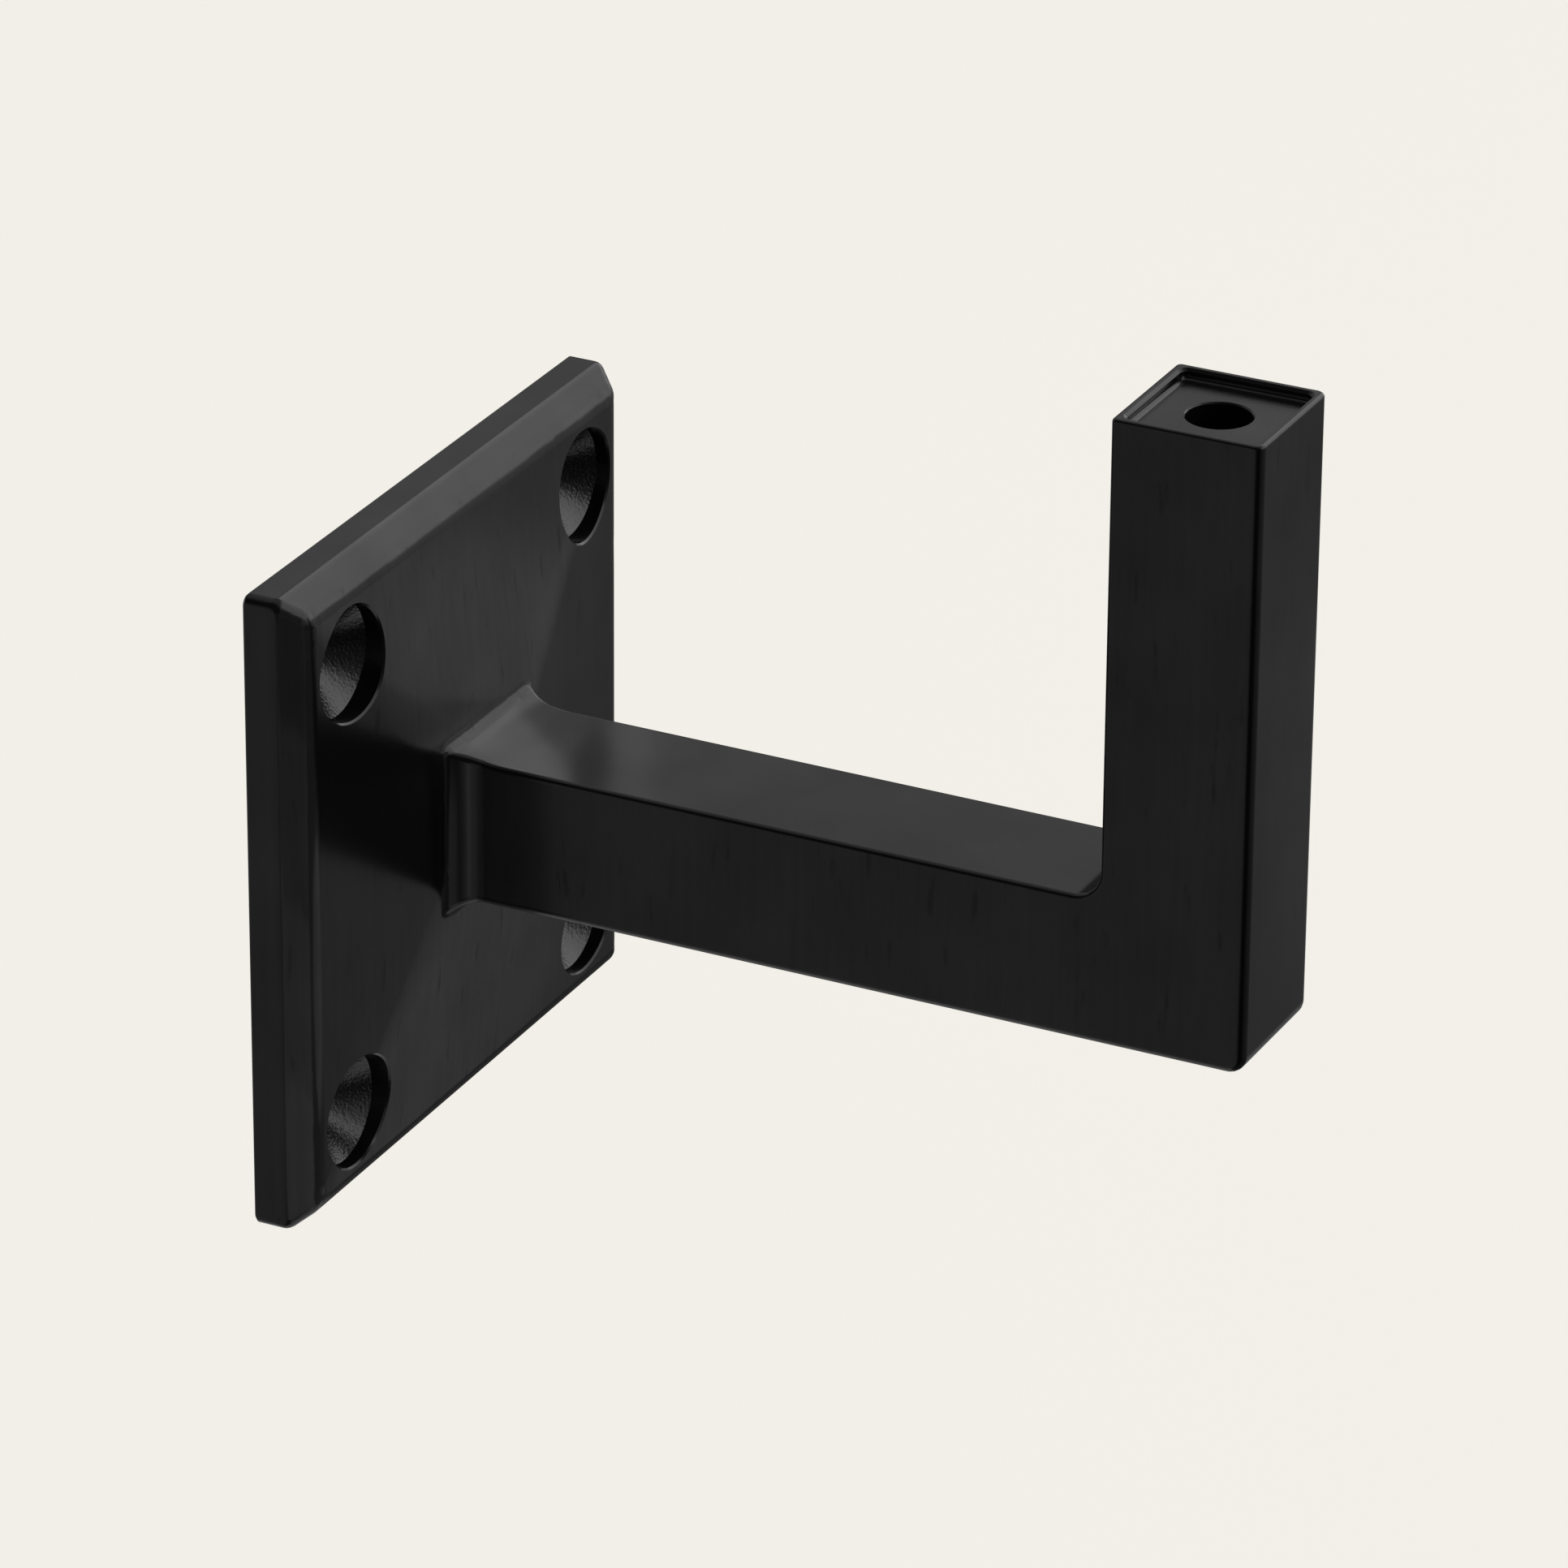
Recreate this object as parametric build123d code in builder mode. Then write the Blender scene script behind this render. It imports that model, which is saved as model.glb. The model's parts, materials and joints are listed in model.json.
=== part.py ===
from build123d import *
import math
import os

# A wall bracket for a handrail, cast in one piece. A square plate screws to the wall, a square arm
# leaves its middle, and an upright post at the arm's end carries the rail on a small square seat.
# The wall is the plane X = 0, the arm's axis is the X axis, and +Z is up.
# All lengths are in millimetres and all angles in degrees.

# Wall plate
plate_width = 70.0
plate_corner_radius = 1.2
plate_side = 3.7
bevel_rise = 2.7
bevel_run = 2.15
crown_angle = 5.3
crown_core_width = 10.0
crown_core_roundness = 0.98
back_edge_chamfer = 0.3
side_crease_radius = 1.3
front_crease_radius = 2.8

# Arm and post, one square bar bent up at its end
bar_size = 15.9
post_reach = 88.9
post_top = 59.5
crook_radius = 3.1
heel_radius = 1.9
outer_edge_radius = 1.05
inner_edge_radius = 0.6
top_edge_radius = 0.35

# Flare where the arm grows out of the plate, drawn out further along the arm's top.
# Its arcs are tangent to the arm, meet the crown where they have spread, and end inside the plate.
flare_radius = 5.3
flare_spread = 1.5
top_flare_radius = 14.0
top_flare_spread = 1.3
flare_root = 7.7
root_radius = 1.5

# Screw recesses in the plate: a straight wall, then a cone for the screw's head
screw_pitch = 50.0
screw_hole_radius = 2.75
recess_radius = 6.0
recess_shoulder = 5.0
recess_cone_angle = 90.0
recess_lip_chamfer = 0.2

# Seat and threaded hole in the post's top
seat_rim = 1.0
seat_depth = 1.1
seat_corner_radius = 0.8
seat_lip_chamfer = 0.3
seat_floor_radius = 0.5
thread_radius = 3.32
thread_depth = 22.0
thread_mouth_chamfer = 0.15
drill_tip_angle = 118.0

# Sizes that follow from the ones above
bar_half = bar_size / 2
post_inner = post_reach - bar_half
post_outer = post_reach + bar_half
front_edge = plate_side + bevel_rise
front_width = plate_width - 2 * bevel_run
crown_slope = math.tan(math.radians(crown_angle))
crown_core_corner_radius = crown_core_roundness * crown_core_width / 2
crown_top = front_edge + (front_width - crown_core_width) / 2 * crown_slope
seat_floor = post_top - seat_depth
seat_width = bar_size - 2 * seat_rim
drill_tip = thread_radius / math.tan(math.radians(drill_tip_angle / 2))

# Two coordinates closer than this are taken as equal when edges are picked out
tolerance = 0.01


def flare_start(radius, spread):
    """Where a flare's arc leaves the arm, if it meets the crown where it has spread that far."""
    meets_crown = front_edge + (front_width / 2 - bar_half - spread) * crown_slope
    return meets_crown + math.sqrt(2 * radius * spread - spread**2)


side_flare_start = flare_start(flare_radius, flare_spread)
top_flare_start = flare_start(top_flare_radius, top_flare_spread)


def flare_arc(side, radius, start):
    """A flare's arc from its root in the plate to the arm's face, on one side of the arm's axis."""
    rise = radius - math.sqrt(radius**2 - (start - flare_root) ** 2)
    return RadiusArc((flare_root, side * (bar_half + rise)), (start, side * bar_half), -side * radius)


def is_long_edge(edge):
    """True for an edge along the bar's four corners, its flare and bends included."""
    centre = edge.center()
    return (
        abs(centre.Y) > bar_half - tolerance
        and centre.X > flare_root + tolerance
        and abs(centre.X - side_flare_start) > tolerance
        and centre.Z < post_top - tolerance
    )


def is_outer_edge(edge):
    """True for a long edge under the arm or up the post's outer face."""
    return is_long_edge(edge) and (edge.center().Z < 0 or edge.center().X > post_reach)


def is_inner_edge(edge):
    """True for a long edge on top of the arm or up the post's inner face."""
    return is_long_edge(edge) and not is_outer_edge(edge)


def is_root_edge(edge):
    """True for an edge where the flare comes out of the crown."""
    return all(flare_root < end.X < crown_top for end in edge.vertices())


def is_recess_mouth(edge):
    """True for an edge round the open end of a screw recess."""
    if edge.center().X < front_edge - tolerance:
        return False
    off_centre = [
        math.hypot(abs(end.Y) - screw_pitch / 2, abs(end.Z) - screw_pitch / 2) for end in edge.vertices()
    ]
    return all(abs(distance - recess_radius) < tolerance for distance in off_centre)


def is_seat_edge(edge):
    """True for an edge on the outline of the seat or inside it."""
    off_centre = max(abs(edge.center().X - post_reach), abs(edge.center().Y))
    return off_centre < seat_width / 2 + tolerance


def edges_at(part, axis, position):
    """The edges of a part that lie at one position along an axis."""
    return part.edges().filter_by_position(axis, position - tolerance, position + tolerance)


with BuildPart() as bracket:

    # The bar is what its side view and its top view have in common
    with BuildSketch(Plane.XZ):
        with BuildLine():
            upper = flare_arc(1, top_flare_radius, top_flare_start)
            FilletPolyline(
                upper @ 1,
                (post_inner, bar_half),
                (post_inner, post_top),
                radius=crook_radius,
            )
            Line((post_inner, post_top), (post_outer, post_top))
            FilletPolyline(
                (post_outer, post_top),
                (post_outer, -bar_half),
                (side_flare_start, -bar_half),
                radius=heel_radius,
            )
            lower = flare_arc(-1, flare_radius, side_flare_start)
            Line(lower @ 0, upper @ 0)
        make_face()
    extrude(amount=plate_width / 2, both=True)

    with BuildSketch(Plane.XY):
        with BuildLine():
            left = flare_arc(1, flare_radius, side_flare_start)
            right = flare_arc(-1, flare_radius, side_flare_start)
            Polyline(left @ 1, (post_outer, bar_half), (post_outer, -bar_half), right @ 1)
            Line(right @ 0, left @ 0)
        make_face()
    extrude(amount=post_top, both=True, mode=Mode.INTERSECT)

    fillet(bracket.edges().filter_by(is_outer_edge), radius=outer_edge_radius)
    fillet(bracket.edges().filter_by(is_inner_edge), radius=inner_edge_radius)
    fillet(bracket.faces().sort_by(Axis.Z)[-1].edges(), radius=top_edge_radius)

    # Wall plate: upright sides, a bevel, and a crown that rises gently to the arm's root
    with BuildSketch(Plane.YZ):
        RectangleRounded(plate_width, plate_width, plate_corner_radius)
    extrude(amount=plate_side)
    outlines = (
        (plate_side, plate_width, plate_corner_radius),
        (front_edge, front_width, plate_corner_radius),
        (crown_top, crown_core_width, crown_core_corner_radius),
    )
    for lower_outline, upper_outline in zip(outlines, outlines[1:]):
        for height, width, corner_radius in (lower_outline, upper_outline):
            with BuildSketch(Plane.YZ.offset(height)):
                RectangleRounded(width, width, corner_radius)
        loft(ruled=True)

    chamfer(edges_at(bracket, Axis.X, 0), length=back_edge_chamfer)
    fillet(edges_at(bracket, Axis.X, plate_side), radius=side_crease_radius)
    fillet(edges_at(bracket, Axis.X, front_edge), radius=front_crease_radius)
    fillet(bracket.edges().filter_by(is_root_edge), radius=root_radius)

    with Locations(Plane.YZ.offset(recess_shoulder)):
        with GridLocations(screw_pitch, screw_pitch, 2, 2):
            CounterSinkHole(screw_hole_radius, recess_radius, counter_sink_angle=recess_cone_angle)
    chamfer(bracket.edges().filter_by(is_recess_mouth), length=recess_lip_chamfer)

    # Seat for the rail's saddle
    with BuildSketch(Plane.XY.offset(post_top)):
        with Locations((post_reach, 0)):
            RectangleRounded(seat_width, seat_width, seat_corner_radius)
    extrude(amount=-seat_depth, mode=Mode.SUBTRACT)
    fillet(edges_at(bracket, Axis.Z, seat_floor), radius=seat_floor_radius)
    chamfer(edges_at(bracket, Axis.Z, post_top).filter_by(is_seat_edge), length=seat_lip_chamfer)

    # Blind hole for the saddle's screw, with the cone that the drill leaves
    with Locations((post_reach, 0, seat_floor)):
        Hole(thread_radius, depth=thread_depth)
    with Locations((post_reach, 0, seat_floor - thread_depth - drill_tip / 2)):
        Cone(0, thread_radius, drill_tip, mode=Mode.SUBTRACT)
    thread_mouth = edges_at(bracket, Axis.Z, seat_floor).filter_by(GeomType.CIRCLE).sort_by(SortBy.RADIUS)[-1]
    chamfer(thread_mouth, length=thread_mouth_chamfer)

bracket.part.label = "bracket"

os.makedirs("parts", exist_ok=True)
export_step(bracket.part, "parts/bracket.step")
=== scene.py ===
import json
import math

import bmesh
import bpy
from bpy.props import FloatProperty, FloatVectorProperty, PointerProperty
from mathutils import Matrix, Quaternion, Vector


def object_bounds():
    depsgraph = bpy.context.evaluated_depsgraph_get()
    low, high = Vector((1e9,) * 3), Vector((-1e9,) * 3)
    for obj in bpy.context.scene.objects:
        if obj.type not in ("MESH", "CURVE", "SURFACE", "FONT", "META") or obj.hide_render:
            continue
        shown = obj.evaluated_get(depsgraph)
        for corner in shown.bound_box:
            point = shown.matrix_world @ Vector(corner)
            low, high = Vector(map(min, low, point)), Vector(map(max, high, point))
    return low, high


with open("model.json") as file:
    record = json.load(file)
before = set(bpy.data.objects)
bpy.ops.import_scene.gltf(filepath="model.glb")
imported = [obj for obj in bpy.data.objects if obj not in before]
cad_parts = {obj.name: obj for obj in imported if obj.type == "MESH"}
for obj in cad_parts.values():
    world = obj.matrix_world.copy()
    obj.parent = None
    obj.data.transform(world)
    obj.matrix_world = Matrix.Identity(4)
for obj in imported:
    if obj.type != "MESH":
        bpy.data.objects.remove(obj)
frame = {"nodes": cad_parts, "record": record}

bl_info = {
    "name": "Square handrail bracket",
    "version": (1, 0, 0),
    "blender": (4, 5, 0),
    "location": "View3D > Sidebar > Bracket",
    "description": "Paints a cast handrail bracket satin black and lights it in a plain studio",
    "category": "Object",
}

MM = 0.001

# Blender's noise swings evenly about this value
NOISE_MEAN = 0.5

cad_low, cad_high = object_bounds()
mounts = {mount["name"]: mount for mount in frame["record"]["mounts"]}
screws = mounts["wall_screws"]["dims"]
seat = mounts["saddle_seat"]


class BracketPaintSettings(bpy.types.PropertyGroup):
    """The black paint on the casting, and the textures that show through it."""

    colour: FloatVectorProperty(
        name="Colour",
        description="Colour of the paint where its coat is thin",
        subtype="COLOR",
        size=3,
        min=0.0,
        max=1.0,
        default=(0.0065, 0.0065, 0.0065),
    )
    full_colour: FloatVectorProperty(
        name="Full colour",
        description="Colour of the paint where its coat is thick",
        subtype="COLOR",
        size=3,
        min=0.0,
        max=1.0,
        default=(0.0095, 0.0095, 0.0095),
    )
    specular_level: FloatProperty(
        name="Specular level",
        description="Strength of what the paint under the coat reflects, where 0.5 is usual",
        subtype="FACTOR",
        min=0.0,
        max=1.0,
        default=0.335,
    )
    coat: FloatProperty(
        name="Coat",
        description="Weight of the satin coat over the paint, on average",
        subtype="FACTOR",
        min=0.0,
        max=1.0,
        default=0.25,
    )
    roughness: FloatProperty(
        name="Roughness",
        description="How far the paint and its coat blur what they reflect, on average",
        subtype="FACTOR",
        min=0.0,
        max=1.0,
        default=0.2,
    )
    streak_width: FloatProperty(
        name="Streak width",
        description="Distance between the fine linishing streaks under the paint",
        unit="LENGTH",
        default=0.8 * MM,
    )
    streak_length: FloatProperty(
        name="Streak length",
        description="Length of one streak, up and down the bracket",
        unit="LENGTH",
        default=14 * MM,
    )
    streak_contrast: FloatProperty(
        name="Streak contrast",
        description="How much the coat's weight changes over the streaks",
        subtype="FACTOR",
        min=0.0,
        max=1.0,
        default=0.22,
    )
    mark_width: FloatProperty(
        name="Mark width",
        description="Width of the few short dull marks that run up and down",
        unit="LENGTH",
        default=1.1 * MM,
    )
    mark_length: FloatProperty(
        name="Mark length",
        description="Length of the few short dull marks",
        unit="LENGTH",
        default=7 * MM,
    )
    mark_contrast: FloatProperty(
        name="Mark contrast",
        description="How much of the coat's weight is missing in the marks",
        subtype="FACTOR",
        min=0.0,
        max=1.0,
        default=0.34,
    )
    blotch_width: FloatProperty(
        name="Blotch width",
        description="Distance between the soft blotches of thicker and thinner paint",
        unit="LENGTH",
        default=11 * MM,
    )
    blotch_contrast: FloatProperty(
        name="Blotch contrast",
        description="How much the coat's weight changes over the blotches",
        subtype="FACTOR",
        min=0.0,
        max=1.0,
        default=0.44,
    )
    wave_width: FloatProperty(
        name="Wave width",
        description="Distance between the low waves of the casting's faces",
        unit="LENGTH",
        default=16 * MM,
    )
    wave_depth: FloatProperty(
        name="Wave depth",
        description="Height of the low waves of the casting's faces",
        unit="LENGTH",
        default=0.05 * MM,
    )
    grain_width: FloatProperty(
        name="Grain width",
        description="Size of the sandy grain left in the screw recesses and on the saddle's seat",
        unit="LENGTH",
        default=0.33 * MM,
    )
    grain_depth: FloatProperty(
        name="Grain depth",
        description="Depth of the sandy grain",
        unit="LENGTH",
        default=0.06 * MM,
    )


class BracketStudioSettings(bpy.types.PropertyGroup):
    """The sweep, the room, the softbox, the cards and the camera. A level of 1 shows as white."""

    background: FloatVectorProperty(
        name="Background",
        description="Colour of the floor and of the wall that it curves up into",
        subtype="COLOR",
        size=3,
        min=0.0,
        max=1.0,
        default=(0.888, 0.863, 0.807),
    )
    floor_drop: FloatProperty(
        name="Floor drop",
        description="Height of the bracket's lowest edge above the floor",
        unit="LENGTH",
        default=0.25,
    )
    sweep_radius: FloatProperty(
        name="Sweep radius",
        description="Distance from the bracket to the studio's wall",
        unit="LENGTH",
        default=2.0,
    )
    room_low: FloatProperty(
        name="Room level, low",
        description="Brightness of the room well below the horizon",
        default=0.056,
    )
    room_high: FloatProperty(
        name="Room level, high",
        description="Brightness of the room above the horizon",
        default=0.38,
    )
    room_shade: FloatProperty(
        name="Room shade",
        description="Share of the room's brightness that is left on the camera's side",
        subtype="FACTOR",
        min=0.0,
        max=1.0,
        default=0.1,
    )
    fill_level: FloatProperty(
        name="Fill level",
        description="Brightness of the dim fill low on the left of the camera",
        default=0.283,
    )
    softbox_level: FloatProperty(
        name="Softbox level",
        description="Brightness of the big softbox",
        default=0.89,
    )
    softbox_size: FloatVectorProperty(
        name="Softbox size",
        description="Width and height of the big softbox",
        unit="LENGTH",
        size=2,
        default=(2.0, 0.88),
    )
    softbox_azimuth: FloatProperty(
        name="Softbox azimuth",
        description="Direction of the softbox, turned from the arm's end toward the bracket's right",
        subtype="ANGLE",
        default=math.radians(51),
    )
    softbox_elevation: FloatProperty(
        name="Softbox elevation",
        description="Height of the big softbox, as an angle above the bracket",
        subtype="ANGLE",
        default=math.radians(31),
    )
    softbox_distance: FloatProperty(
        name="Softbox distance",
        description="Distance from the bracket to the big softbox",
        unit="LENGTH",
        default=0.9,
    )
    floor_card_level: FloatProperty(
        name="Floor card level",
        description="Brightness of the level card under the bracket, which lights its recesses",
        default=0.42,
    )
    floor_card_size: FloatVectorProperty(
        name="Floor card size",
        description="Length of the floor card along the arm, and its width across it",
        unit="LENGTH",
        size=2,
        default=(130 * MM, 80 * MM),
    )
    floor_card_place: FloatVectorProperty(
        name="Floor card place",
        description="Middle of the floor card",
        subtype="TRANSLATION",
        size=3,
        default=(25 * MM, -5 * MM, -90 * MM),
    )
    bevel_card_levels: FloatVectorProperty(
        name="Bevel card levels",
        description="Brightness of the stacked cards for the plate's near bevel, from the lowest up",
        size=4,
        default=(0.46, 0.36, 0.22, 0.13),
    )
    bevel_card_size: FloatVectorProperty(
        name="Bevel card size",
        description="Width and height of each of the bevel cards",
        unit="LENGTH",
        size=2,
        default=(24 * MM, 20 * MM),
    )
    bevel_card_place: FloatVectorProperty(
        name="Bevel card place",
        description="Middle of the lowest bevel card",
        subtype="TRANSLATION",
        size=3,
        default=(15 * MM, -46.5 * MM, -35 * MM),
    )
    flare_card_level: FloatProperty(
        name="Flare card level",
        description="Brightness of the small oval card that lights the arm's near flare",
        default=0.3,
    )
    flare_card_size: FloatVectorProperty(
        name="Flare card size",
        description="Width and height of the flare card",
        unit="LENGTH",
        size=2,
        default=(17 * MM, 32 * MM),
    )
    flare_card_place: FloatVectorProperty(
        name="Flare card place",
        description="Middle of the flare card",
        subtype="TRANSLATION",
        size=3,
        default=(25 * MM, -23.5 * MM, -17 * MM),
    )
    back_card_level: FloatProperty(
        name="Back card level",
        description="Brightness of the grey card that the plate's front shows",
        default=0.18,
    )
    back_card_size: FloatVectorProperty(
        name="Back card size",
        description="Width and height of the back card",
        unit="LENGTH",
        size=2,
        default=(90 * MM, 130 * MM),
    )
    back_card_place: FloatVectorProperty(
        name="Back card place",
        description="Middle of the back card",
        subtype="TRANSLATION",
        size=3,
        default=(105 * MM, 150 * MM, -95 * MM),
    )
    corner_card_level: FloatProperty(
        name="Corner card level",
        description="Brightness of the small oval card behind the bright fan on the arm's top",
        default=0.4,
    )
    corner_card_size: FloatVectorProperty(
        name="Corner card size",
        description="Length and width of the corner card",
        unit="LENGTH",
        size=2,
        default=(28 * MM, 7 * MM),
    )
    corner_card_place: FloatVectorProperty(
        name="Corner card place",
        description="Middle of the corner card, just off the plate's front",
        subtype="TRANSLATION",
        size=3,
        default=(9 * MM, 6.8 * MM, 14.6 * MM),
    )
    corner_card_roll: FloatProperty(
        name="Corner card roll",
        description="Turn of the corner card in its own plane",
        subtype="ANGLE",
        default=math.radians(-37),
    )
    haze_card_level: FloatProperty(
        name="Haze card level",
        description="Brightness of the dim card that lifts the plate's image in the arm's top",
        default=0.13,
    )
    haze_card_size: FloatVectorProperty(
        name="Haze card size",
        description="Width and height of the haze card",
        unit="LENGTH",
        size=2,
        default=(34 * MM, 26 * MM),
    )
    haze_card_place: FloatVectorProperty(
        name="Haze card place",
        description="Middle of the haze card, just off the plate's front",
        subtype="TRANSLATION",
        size=3,
        default=(9.5 * MM, 18 * MM, 22 * MM),
    )
    camera_distance: FloatProperty(
        name="Camera distance",
        description="Distance from the lens to the point it looks at",
        unit="LENGTH",
        default=0.9464,
    )
    camera_azimuth: FloatProperty(
        name="Camera azimuth",
        description="Direction of the camera, turned from the bracket's left toward the arm's end",
        subtype="ANGLE",
        default=math.radians(26.221),
    )
    camera_elevation: FloatProperty(
        name="Camera elevation",
        description="Height of the camera, as an angle above its target",
        subtype="ANGLE",
        default=math.radians(25.328),
    )
    camera_roll: FloatProperty(
        name="Camera roll",
        description="Tilt of the camera about its own line of sight",
        subtype="ANGLE",
        default=math.radians(0.429),
    )
    camera_target: FloatVectorProperty(
        name="Camera target",
        description="Point the camera looks at",
        subtype="TRANSLATION",
        size=3,
        default=(34.10 * MM, 16.86 * MM, 0.13 * MM),
    )
    camera_lens: FloatProperty(
        name="Lens",
        description="Focal length on a sensor 36 mm wide",
        unit="CAMERA",
        default=210.93,
    )


def feed(tree, source, socket):
    """Link an output socket to an input, or write a plain value to it."""
    if isinstance(source, bpy.types.NodeSocket):
        tree.links.new(source, socket)
    else:
        socket.default_value = source


def maths(tree, operation, *sources):
    """Add a Math node and return its result."""
    node = tree.nodes.new("ShaderNodeMath")
    node.operation = operation
    for source, socket in zip(sources, node.inputs):
        feed(tree, source, socket)
    return node.outputs["Value"]


def ramp(tree, value, start, end, low=0.0, high=1.0):
    """Return a smooth step from low, where the value is at start, to high, where it is at end."""
    node = tree.nodes.new("ShaderNodeMapRange")
    node.interpolation_type = "SMOOTHSTEP"
    for name, source in (
        ("Value", value),
        ("From Min", start),
        ("From Max", end),
        ("To Min", low),
        ("To Max", high),
    ):
        feed(tree, source, node.inputs[name])
    return node.outputs["Result"]


def separate(tree, vector):
    """Return the three components of a vector."""
    node = tree.nodes.new("ShaderNodeSeparateXYZ")
    tree.links.new(vector, node.inputs["Vector"])
    return node.outputs["X"], node.outputs["Y"], node.outputs["Z"]


def toward(tree, direction, side):
    """Return how nearly a direction points to one side, as the cosine of the angle between them."""
    node = tree.nodes.new("ShaderNodeVectorMath")
    node.operation = "DOT_PRODUCT"
    tree.links.new(direction, node.inputs[0])
    node.inputs[1].default_value = side
    return node.outputs["Value"]


def mixed_colour(tree, share, first, second):
    """Return a colour between two, which is the second one where the share is 1."""
    node = tree.nodes.new("ShaderNodeMix")
    node.data_type = "RGBA"
    sockets = {socket.identifier: socket for socket in (*node.inputs, *node.outputs)}
    feed(tree, share, sockets["Factor_Float"])
    feed(tree, (*first, 1.0), sockets["A_Color"])
    feed(tree, (*second, 1.0), sockets["B_Color"])
    return sockets["Result_Color"]


def bump(tree, height, strength, depth, normal=None):
    """Return the normal of a bumpy surface, laid over another normal where one is given."""
    node = tree.nodes.new("ShaderNodeBump")
    feed(tree, height, node.inputs["Height"])
    feed(tree, strength, node.inputs["Strength"])
    feed(tree, depth, node.inputs["Distance"])
    if normal is not None:
        feed(tree, normal, node.inputs["Normal"])
    return node.outputs["Normal"]


def noise(tree, coordinates, size, detail):
    """Return noise whose features have the given sizes along X, Y and Z."""
    mapping = tree.nodes.new("ShaderNodeMapping")
    tree.links.new(coordinates, mapping.inputs["Vector"])
    mapping.inputs["Scale"].default_value = [1.0 / length for length in size]
    texture = tree.nodes.new("ShaderNodeTexNoise")
    texture.inputs["Scale"].default_value = 1.0
    texture.inputs["Detail"].default_value = detail
    tree.links.new(mapping.outputs["Vector"], texture.inputs["Vector"])
    return texture.outputs["Fac"]


def swing(tree, coordinates, size, detail, contrast):
    """Return noise that swings about 0, by up to half the contrast to each side."""
    centred = maths(tree, "SUBTRACT", noise(tree, coordinates, size, detail), NOISE_MEAN)
    return maths(tree, "MULTIPLY", centred, contrast)


def cone_mask(tree, coordinates):
    """Return 1 on the cones in the four screw recesses and 0 elsewhere."""
    edge = 0.15 * MM
    mouth_radius = 6.2 * MM
    shoulder = 5.0 * MM
    x, y, z = separate(tree, coordinates)
    across = maths(tree, "SUBTRACT", maths(tree, "ABSOLUTE", y), screws["spacing_x_mm"] / 2 * MM)
    up = maths(tree, "SUBTRACT", maths(tree, "ABSOLUTE", z), screws["spacing_y_mm"] / 2 * MM)
    squares = maths(tree, "ADD", maths(tree, "POWER", across, 2.0), maths(tree, "POWER", up, 2.0))
    off_centre = maths(tree, "SQRT", squares)
    inside = ramp(tree, off_centre, mouth_radius, mouth_radius - edge)
    below_shoulder = ramp(tree, x, shoulder + edge, shoulder)
    above_back = ramp(tree, x, 0.0, edge)
    return maths(tree, "MULTIPLY", inside, maths(tree, "MULTIPLY", below_shoulder, above_back))


def seat_mask(tree, coordinates):
    """Return 1 on the floor of the saddle's seat and 0 elsewhere."""
    edge = 0.2 * MM
    half_width = 6.95 * MM
    x, y, z = separate(tree, coordinates)
    along = maths(tree, "ABSOLUTE", maths(tree, "SUBTRACT", x, seat["pos_m"][0]))
    off_centre = maths(tree, "MAXIMUM", along, maths(tree, "ABSOLUTE", y))
    inside = ramp(tree, off_centre, half_width, half_width - edge)
    above_floor = maths(tree, "ABSOLUTE", maths(tree, "SUBTRACT", z, seat["pos_m"][2]))
    return maths(tree, "MULTIPLY", inside, ramp(tree, above_floor, 2 * edge, edge))


def coat_thickness(tree, place, normal, settings):
    """Return how far the coat's weight is off its average, in its streaks, blotches and marks."""
    level_facing = 0.8
    upright_facing = 0.4
    mark_edge = 0.62
    mark_core = 0.78

    streak_size = (settings.streak_width, settings.streak_width, settings.streak_length)
    streaks = swing(tree, place, streak_size, 3.0, settings.streak_contrast)
    mark_size = (settings.mark_width, settings.mark_width, settings.mark_length)
    mark_noise = noise(tree, place, mark_size, 3.0)
    marks = ramp(tree, mark_noise, mark_edge, mark_core, 0.0, settings.mark_contrast)
    blotches = swing(tree, place, (settings.blotch_width,) * 3, 2.0, settings.blotch_contrast)

    # The streaks and marks run up and down the upright faces, and the level ones have none
    facing = maths(tree, "ABSOLUTE", separate(tree, normal)[2])
    upright = ramp(tree, facing, level_facing, upright_facing)
    linishing = maths(tree, "MULTIPLY", maths(tree, "SUBTRACT", streaks, marks), upright)
    return maths(tree, "ADD", linishing, blotches)


def casting_relief(tree, place, cones, settings):
    """Return the normal of the casting's low waves, with a sandy grain on its cones and its seat."""
    seat_share = 0.2
    seat_sand = maths(tree, "MULTIPLY", seat_mask(tree, place), seat_share)
    sandy = maths(tree, "MAXIMUM", cones, seat_sand)
    wave_noise = noise(tree, place, (settings.wave_width,) * 3, 1.0)
    waves = bump(tree, wave_noise, 1.0, settings.wave_depth)
    grain_noise = noise(tree, place, (settings.grain_width,) * 3, 4.0)
    return bump(tree, grain_noise, sandy, settings.grain_depth, waves)


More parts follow.
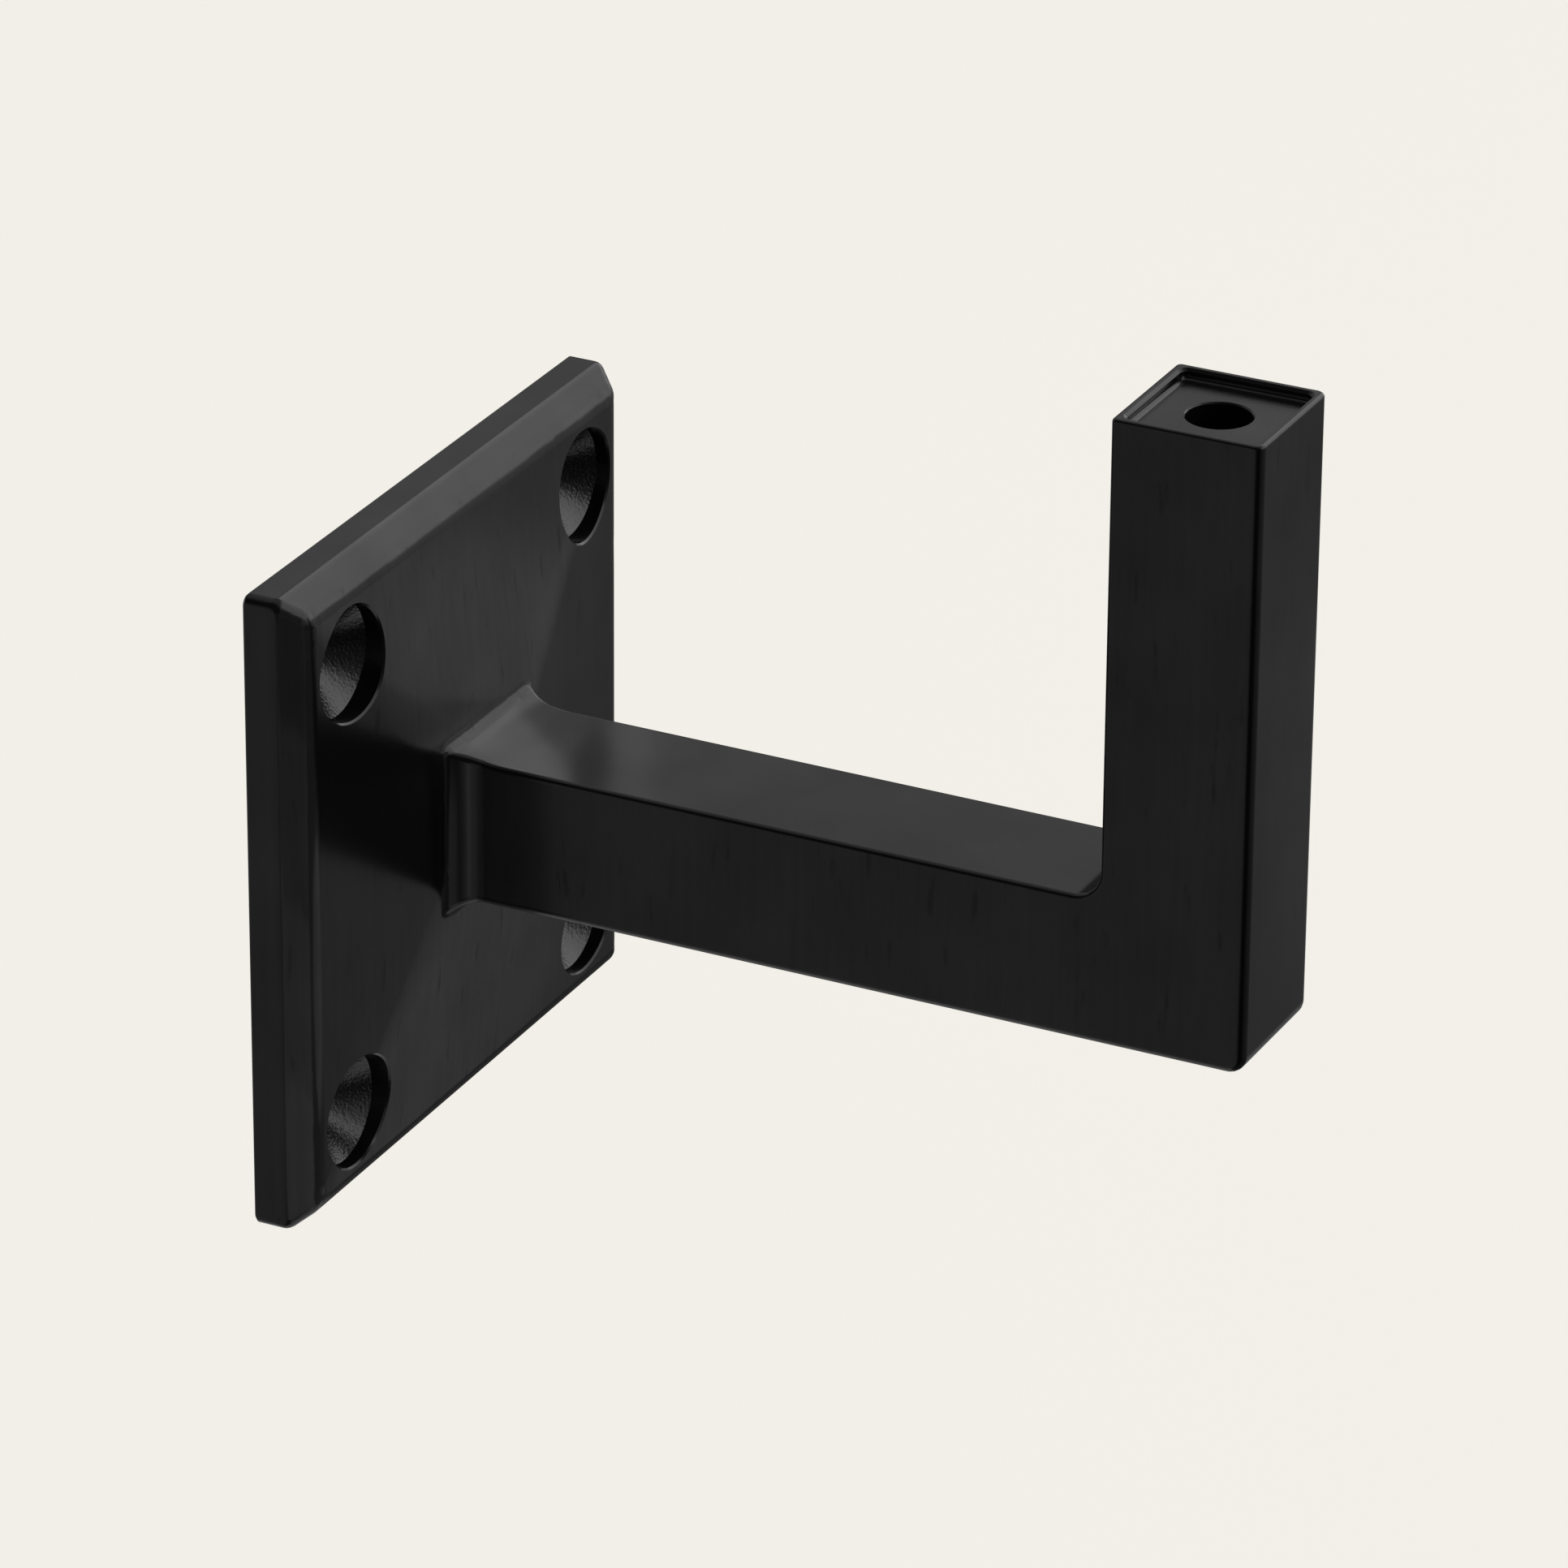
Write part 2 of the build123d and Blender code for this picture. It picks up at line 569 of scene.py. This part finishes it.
def build_black_paint(settings):
    """Make the satin black paint of the casting, whose colour and gloss follow its thickness."""
    full_thickness = 0.15
    gloss_per_thickness = 0.15

    material = bpy.data.materials.new("satin_black_paint")
    material.use_nodes = True
    tree = material.node_tree
    shader = tree.nodes["Principled BSDF"]
    shader.inputs["IOR"].default_value = 1.5
    shader.inputs["Specular IOR Level"].default_value = settings.specular_level
    shader.inputs["Coat Roughness"].default_value = settings.roughness

    texture_coordinate = tree.nodes.new("ShaderNodeTexCoord")
    place = texture_coordinate.outputs["Object"]
    thickness = coat_thickness(tree, place, texture_coordinate.outputs["Normal"], settings)
    thick_share = ramp(tree, thickness, -full_thickness, full_thickness)
    colour = mixed_colour(tree, thick_share, settings.colour, settings.full_colour)
    roughness = maths(tree, "MULTIPLY_ADD", thickness, -gloss_per_thickness, settings.roughness)
    cones = cone_mask(tree, place)
    coat = maths(tree, "MAXIMUM", maths(tree, "ADD", thickness, settings.coat), cones)
    relief = casting_relief(tree, place, cones, settings)

    tree.links.new(colour, shader.inputs["Base Color"])
    tree.links.new(roughness, shader.inputs["Roughness"])
    tree.links.new(coat, shader.inputs["Coat Weight"])
    tree.links.new(relief, shader.inputs["Normal"])
    tree.links.new(relief, shader.inputs["Coat Normal"])
    return material


class BRACKET_OT_paint_casting(bpy.types.Operator):
    """Give the cast bracket its satin black paint"""

    bl_idname = "bracket.paint_casting"
    bl_label = "Paint the casting"

    def execute(self, context):
        casting = frame["nodes"]["bracket"]
        paint = build_black_paint(context.scene.bracket_paint)
        for slot in casting.material_slots:
            slot.material = paint
        return {"FINISHED"}


def side_at(azimuth, elevation):
    """Return the direction turned by an azimuth from +X toward +Y, and raised by an elevation."""
    level_part = math.cos(elevation)
    return Vector(
        (
            math.cos(azimuth) * level_part,
            math.sin(azimuth) * level_part,
            math.sin(elevation),
        )
    )


def add_card(name, level, size, place, away, roll=0.0, shape="RECTANGLE"):
    """Add a flat lamp with its back to the direction away, which the camera doesn't see."""
    data = bpy.data.lights.new(name, "AREA")
    data.shape = shape
    data.size, data.size_y = size
    data.energy = level * math.pi * data.size * data.size_y
    if shape == "ELLIPSE":
        data.energy *= math.pi / 4
    lamp = bpy.data.objects.new(name, data)
    bpy.context.collection.objects.link(lamp)
    lamp.location = place
    lamp.rotation_mode = "QUATERNION"
    lamp.rotation_quaternion = away.to_track_quat("Z", "Y") @ Quaternion((0.0, 0.0, 1.0), roll)
    lamp.visible_camera = False


def add_softbox_and_cards(settings):
    """Add the big softbox, and the cards that each light one part of the bracket."""
    softbox_side = side_at(settings.softbox_azimuth, settings.softbox_elevation)
    middle = (cad_low + cad_high) / 2
    add_card(
        "softbox",
        settings.softbox_level,
        settings.softbox_size,
        middle + softbox_side * settings.softbox_distance,
        softbox_side,
    )

    below = Vector((0.0, 0.0, -1.0))
    add_card(
        "floor_card",
        settings.floor_card_level,
        settings.floor_card_size,
        settings.floor_card_place,
        below,
    )

    from_wall = Vector((1.0, 0.0, 0.0))
    for step, level in enumerate(settings.bevel_card_levels):
        rise = Vector((0.0, 0.0, step * settings.bevel_card_size[1]))
        place = Vector(settings.bevel_card_place) + rise
        add_card(f"bevel_card_{step + 1}", level, settings.bevel_card_size, place, from_wall)

    add_card(
        "flare_card",
        settings.flare_card_level,
        settings.flare_card_size,
        settings.flare_card_place,
        from_wall,
        shape="ELLIPSE",
    )

    behind = Vector((0.0, 1.0, 0.0))
    add_card(
        "back_card",
        settings.back_card_level,
        settings.back_card_size,
        settings.back_card_place,
        behind,
    )

    toward_wall = Vector((-1.0, 0.0, 0.0))
    add_card(
        "corner_card",
        settings.corner_card_level,
        settings.corner_card_size,
        settings.corner_card_place,
        toward_wall,
        settings.corner_card_roll,
        "ELLIPSE",
    )
    add_card(
        "haze_card",
        settings.haze_card_level,
        settings.haze_card_size,
        settings.haze_card_place,
        toward_wall,
    )


def build_sweep(settings):
    """Make the pale floor and the wall that it curves up into, as one turned sheet."""
    middle_radius = 0.02
    cove_share = 0.3
    cove_steps = 12
    wall_share = 1.5
    turn_steps = 96

    floor_height = cad_low.z - settings.floor_drop
    radius = settings.sweep_radius
    cove = radius * cove_share
    profile = [(middle_radius, 0.0), (radius - cove, 0.0)]
    for step in range(1, cove_steps + 1):
        turn = math.radians(90) * step / cove_steps
        profile.append((radius - cove + cove * math.sin(turn), cove - cove * math.cos(turn)))
    profile.append((radius, radius * wall_share))

    sheet = bmesh.new()
    points = [sheet.verts.new((out, 0.0, floor_height + up)) for out, up in profile]
    for start, end in zip(points, points[1:]):
        sheet.edges.new((start, end))
    bmesh.ops.spin(
        sheet,
        geom=sheet.verts[:] + sheet.edges[:],
        cent=(0.0, 0.0, 0.0),
        axis=(0.0, 0.0, 1.0),
        angle=math.radians(360),
        steps=turn_steps,
        use_merge=True,
    )
    open_edges = [edge for edge in sheet.edges if edge.is_boundary]
    middle = [edge for edge in open_edges if edge.verts[0].co.xy.length < 2 * middle_radius]
    bmesh.ops.holes_fill(sheet, edges=middle)
    bmesh.ops.recalc_face_normals(sheet, faces=sheet.faces[:])
    if max(sheet.faces, key=lambda face: face.calc_area()).normal.z < 0:
        bmesh.ops.reverse_faces(sheet, faces=sheet.faces[:])
    mesh = bpy.data.meshes.new("sweep")
    sheet.to_mesh(mesh)
    sheet.free()
    mesh.shade_smooth()
    sweep = bpy.data.objects.new("sweep", mesh)
    bpy.context.collection.objects.link(sweep)
    return sweep


def build_sweep_paper(settings):
    """Make the pale paper of the sweep, which mostly shines by itself so that it looks even."""
    lit_share = 0.12
    own_share = 0.95

    material = bpy.data.materials.new("pale_paper")
    material.use_nodes = True
    shader = material.node_tree.nodes["Principled BSDF"]
    lit_colour = [channel * lit_share for channel in settings.background]
    shader.inputs["Base Color"].default_value = (*lit_colour, 1.0)
    shader.inputs["Roughness"].default_value = 1.0
    shader.inputs["Specular IOR Level"].default_value = 0.0
    shader.inputs["Emission Color"].default_value = (*settings.background, 1.0)
    shader.inputs["Emission Strength"].default_value = own_share
    return material


def build_room_light(settings):
    """Light the world as a dim room, dark toward the camera but for a fill that stands low there."""
    low_height = -0.55
    high_height = -0.05
    shade_edge = 0.0
    shade_core = -0.45
    flag_side = Vector((-0.57, 0.81, -0.13))
    flag_edge = 0.88
    flag_core = 0.95
    fill_side = Vector((-0.40, -0.81, -0.43))
    fill_edge = 0.55
    fill_core = 0.9

    world = bpy.data.worlds.new("room")
    bpy.context.scene.world = world
    world.use_nodes = True
    tree = world.node_tree
    direction = tree.nodes.new("ShaderNodeTexCoord").outputs["Generated"]
    y, z = separate(tree, direction)[1:]
    room = ramp(tree, z, low_height, high_height, settings.room_low, settings.room_high)
    shade = ramp(tree, y, shade_edge, shade_core, 1.0, settings.room_shade)
    flag_nearness = toward(tree, direction, flag_side)
    flag = ramp(tree, flag_nearness, flag_edge, flag_core, 1.0, settings.room_shade)
    fill_nearness = toward(tree, direction, fill_side)
    fill = ramp(tree, fill_nearness, fill_edge, fill_core, 0.0, settings.fill_level)
    level = maths(tree, "MULTIPLY_ADD", room, maths(tree, "MULTIPLY", shade, flag), fill)
    background = tree.nodes["Background"]
    background.inputs["Color"].default_value = (1.0, 1.0, 1.0, 1.0)
    tree.links.new(level, background.inputs["Strength"])


def add_camera(settings):
    """Add the camera where the photograph's camera stood."""
    data = bpy.data.cameras.new("camera")
    data.lens = settings.camera_lens
    data.sensor_width = 36.0
    data.clip_start = 0.05
    data.clip_end = 20.0
    camera = bpy.data.objects.new("camera", data)
    bpy.context.collection.objects.link(camera)
    bracket_left = math.radians(-90)
    back = side_at(bracket_left + settings.camera_azimuth, settings.camera_elevation)
    camera.location = Vector(settings.camera_target) + back * settings.camera_distance
    camera.rotation_mode = "QUATERNION"
    roll = Quaternion((0.0, 0.0, 1.0), settings.camera_roll)
    camera.rotation_quaternion = back.to_track_quat("Z", "Y") @ roll
    bpy.context.scene.camera = camera


class BRACKET_OT_build_studio(bpy.types.Operator):
    """Set up the pale sweep, the soft lamps and the camera"""

    bl_idname = "bracket.build_studio"
    bl_label = "Build the studio"

    def execute(self, context):
        settings = context.scene.bracket_studio
        sweep = build_sweep(settings)
        sweep.data.materials.append(build_sweep_paper(settings))

        # The room, the softbox and the cards light the bracket, and the sweep adds nothing to it
        sweep.visible_glossy = False
        sweep.visible_diffuse = False

        build_room_light(settings)
        add_softbox_and_cards(settings)
        add_camera(settings)
        context.scene.view_settings.view_transform = "Standard"
        return {"FINISHED"}


class BRACKET_PT_panel(bpy.types.Panel):
    """The bracket's steps, in order"""

    bl_idname = "BRACKET_PT_panel"
    bl_label = "Handrail bracket"
    bl_space_type = "VIEW_3D"
    bl_region_type = "UI"
    bl_category = "Bracket"

    def draw(self, context):
        for operator in OPERATORS:
            self.layout.operator(operator.bl_idname)


OPERATORS = (BRACKET_OT_paint_casting, BRACKET_OT_build_studio)
CLASSES = (BracketPaintSettings, BracketStudioSettings, *OPERATORS, BRACKET_PT_panel)


def register():
    for item in CLASSES:
        bpy.utils.register_class(item)
    bpy.types.Scene.bracket_paint = PointerProperty(type=BracketPaintSettings)
    bpy.types.Scene.bracket_studio = PointerProperty(type=BracketStudioSettings)


def unregister():
    del bpy.types.Scene.bracket_studio
    del bpy.types.Scene.bracket_paint
    for item in reversed(CLASSES):
        bpy.utils.unregister_class(item)


def main():
    """Register the add-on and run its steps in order."""
    register()
    bpy.ops.bracket.paint_casting()
    bpy.ops.bracket.build_studio()


if __name__ == "__main__":
    main()
